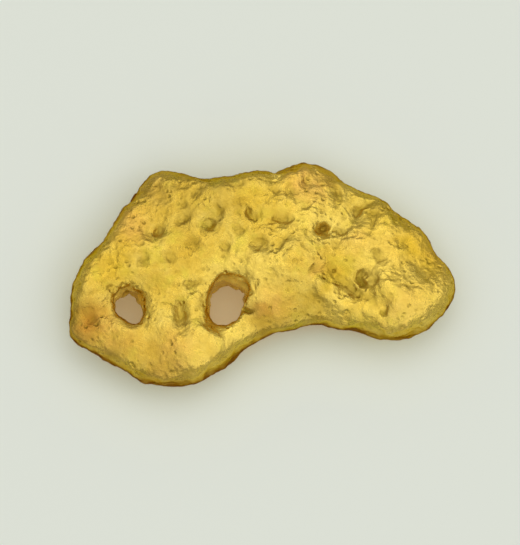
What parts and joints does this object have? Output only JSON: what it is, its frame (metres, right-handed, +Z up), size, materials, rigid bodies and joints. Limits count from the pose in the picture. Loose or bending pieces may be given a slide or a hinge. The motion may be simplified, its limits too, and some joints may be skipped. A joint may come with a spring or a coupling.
{
  "type": "gold nugget",
  "caption": "Flat, water-worn, kidney-shaped nugget of native gold with a pitted, folded face and holes worn through its broad lobe; lies flat on a surface.",
  "frame": {"origin": "on the surface that the nugget lies on, under the centre of its box", "axes": "+X along its length, from the broad lobe with the holes to the narrow lobe; +Z up, out of its pitted face; -Y on its concave side"},
  "size_m": [0.0094, 0.0056, 0.0016],
  "materials": {
    "gold": "satin"
  },
  "bodies": {
    "root": {"nugget": "gold"}
  },
  "joints": []
}
